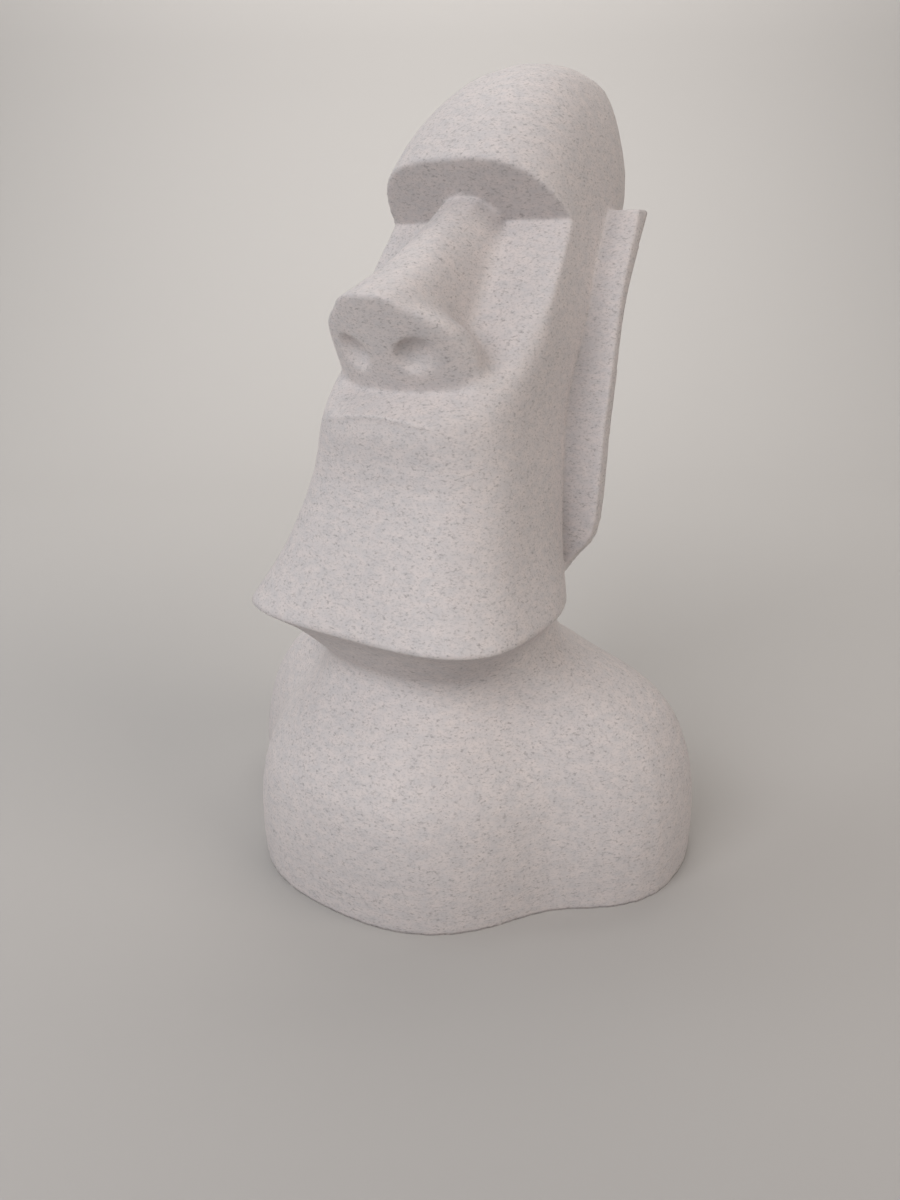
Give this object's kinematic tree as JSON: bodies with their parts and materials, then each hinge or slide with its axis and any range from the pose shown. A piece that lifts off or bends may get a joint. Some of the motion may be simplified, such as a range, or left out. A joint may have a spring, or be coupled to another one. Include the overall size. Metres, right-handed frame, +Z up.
{
  "type": "moai bust",
  "caption": "Stylised moai head and shoulders with a jutting chin, long nose, heavy brow and slab ears, made in one piece to stand on its flat underside.",
  "frame": {"origin": "the centre of the bounding box, on the flat face that the bust stands on", "axes": "+Z up, -Y the way the face looks, +X towards the figure's own left ear"},
  "size_m": [0.2732, 0.2532, 0.4],
  "materials": {
    "speckled_plastic": "matt, stone grey with fine dark specks drawn out along the printed layers"
  },
  "bodies": {
    "root": {"moai_bust": "speckled_plastic"}
  },
  "joints": []
}
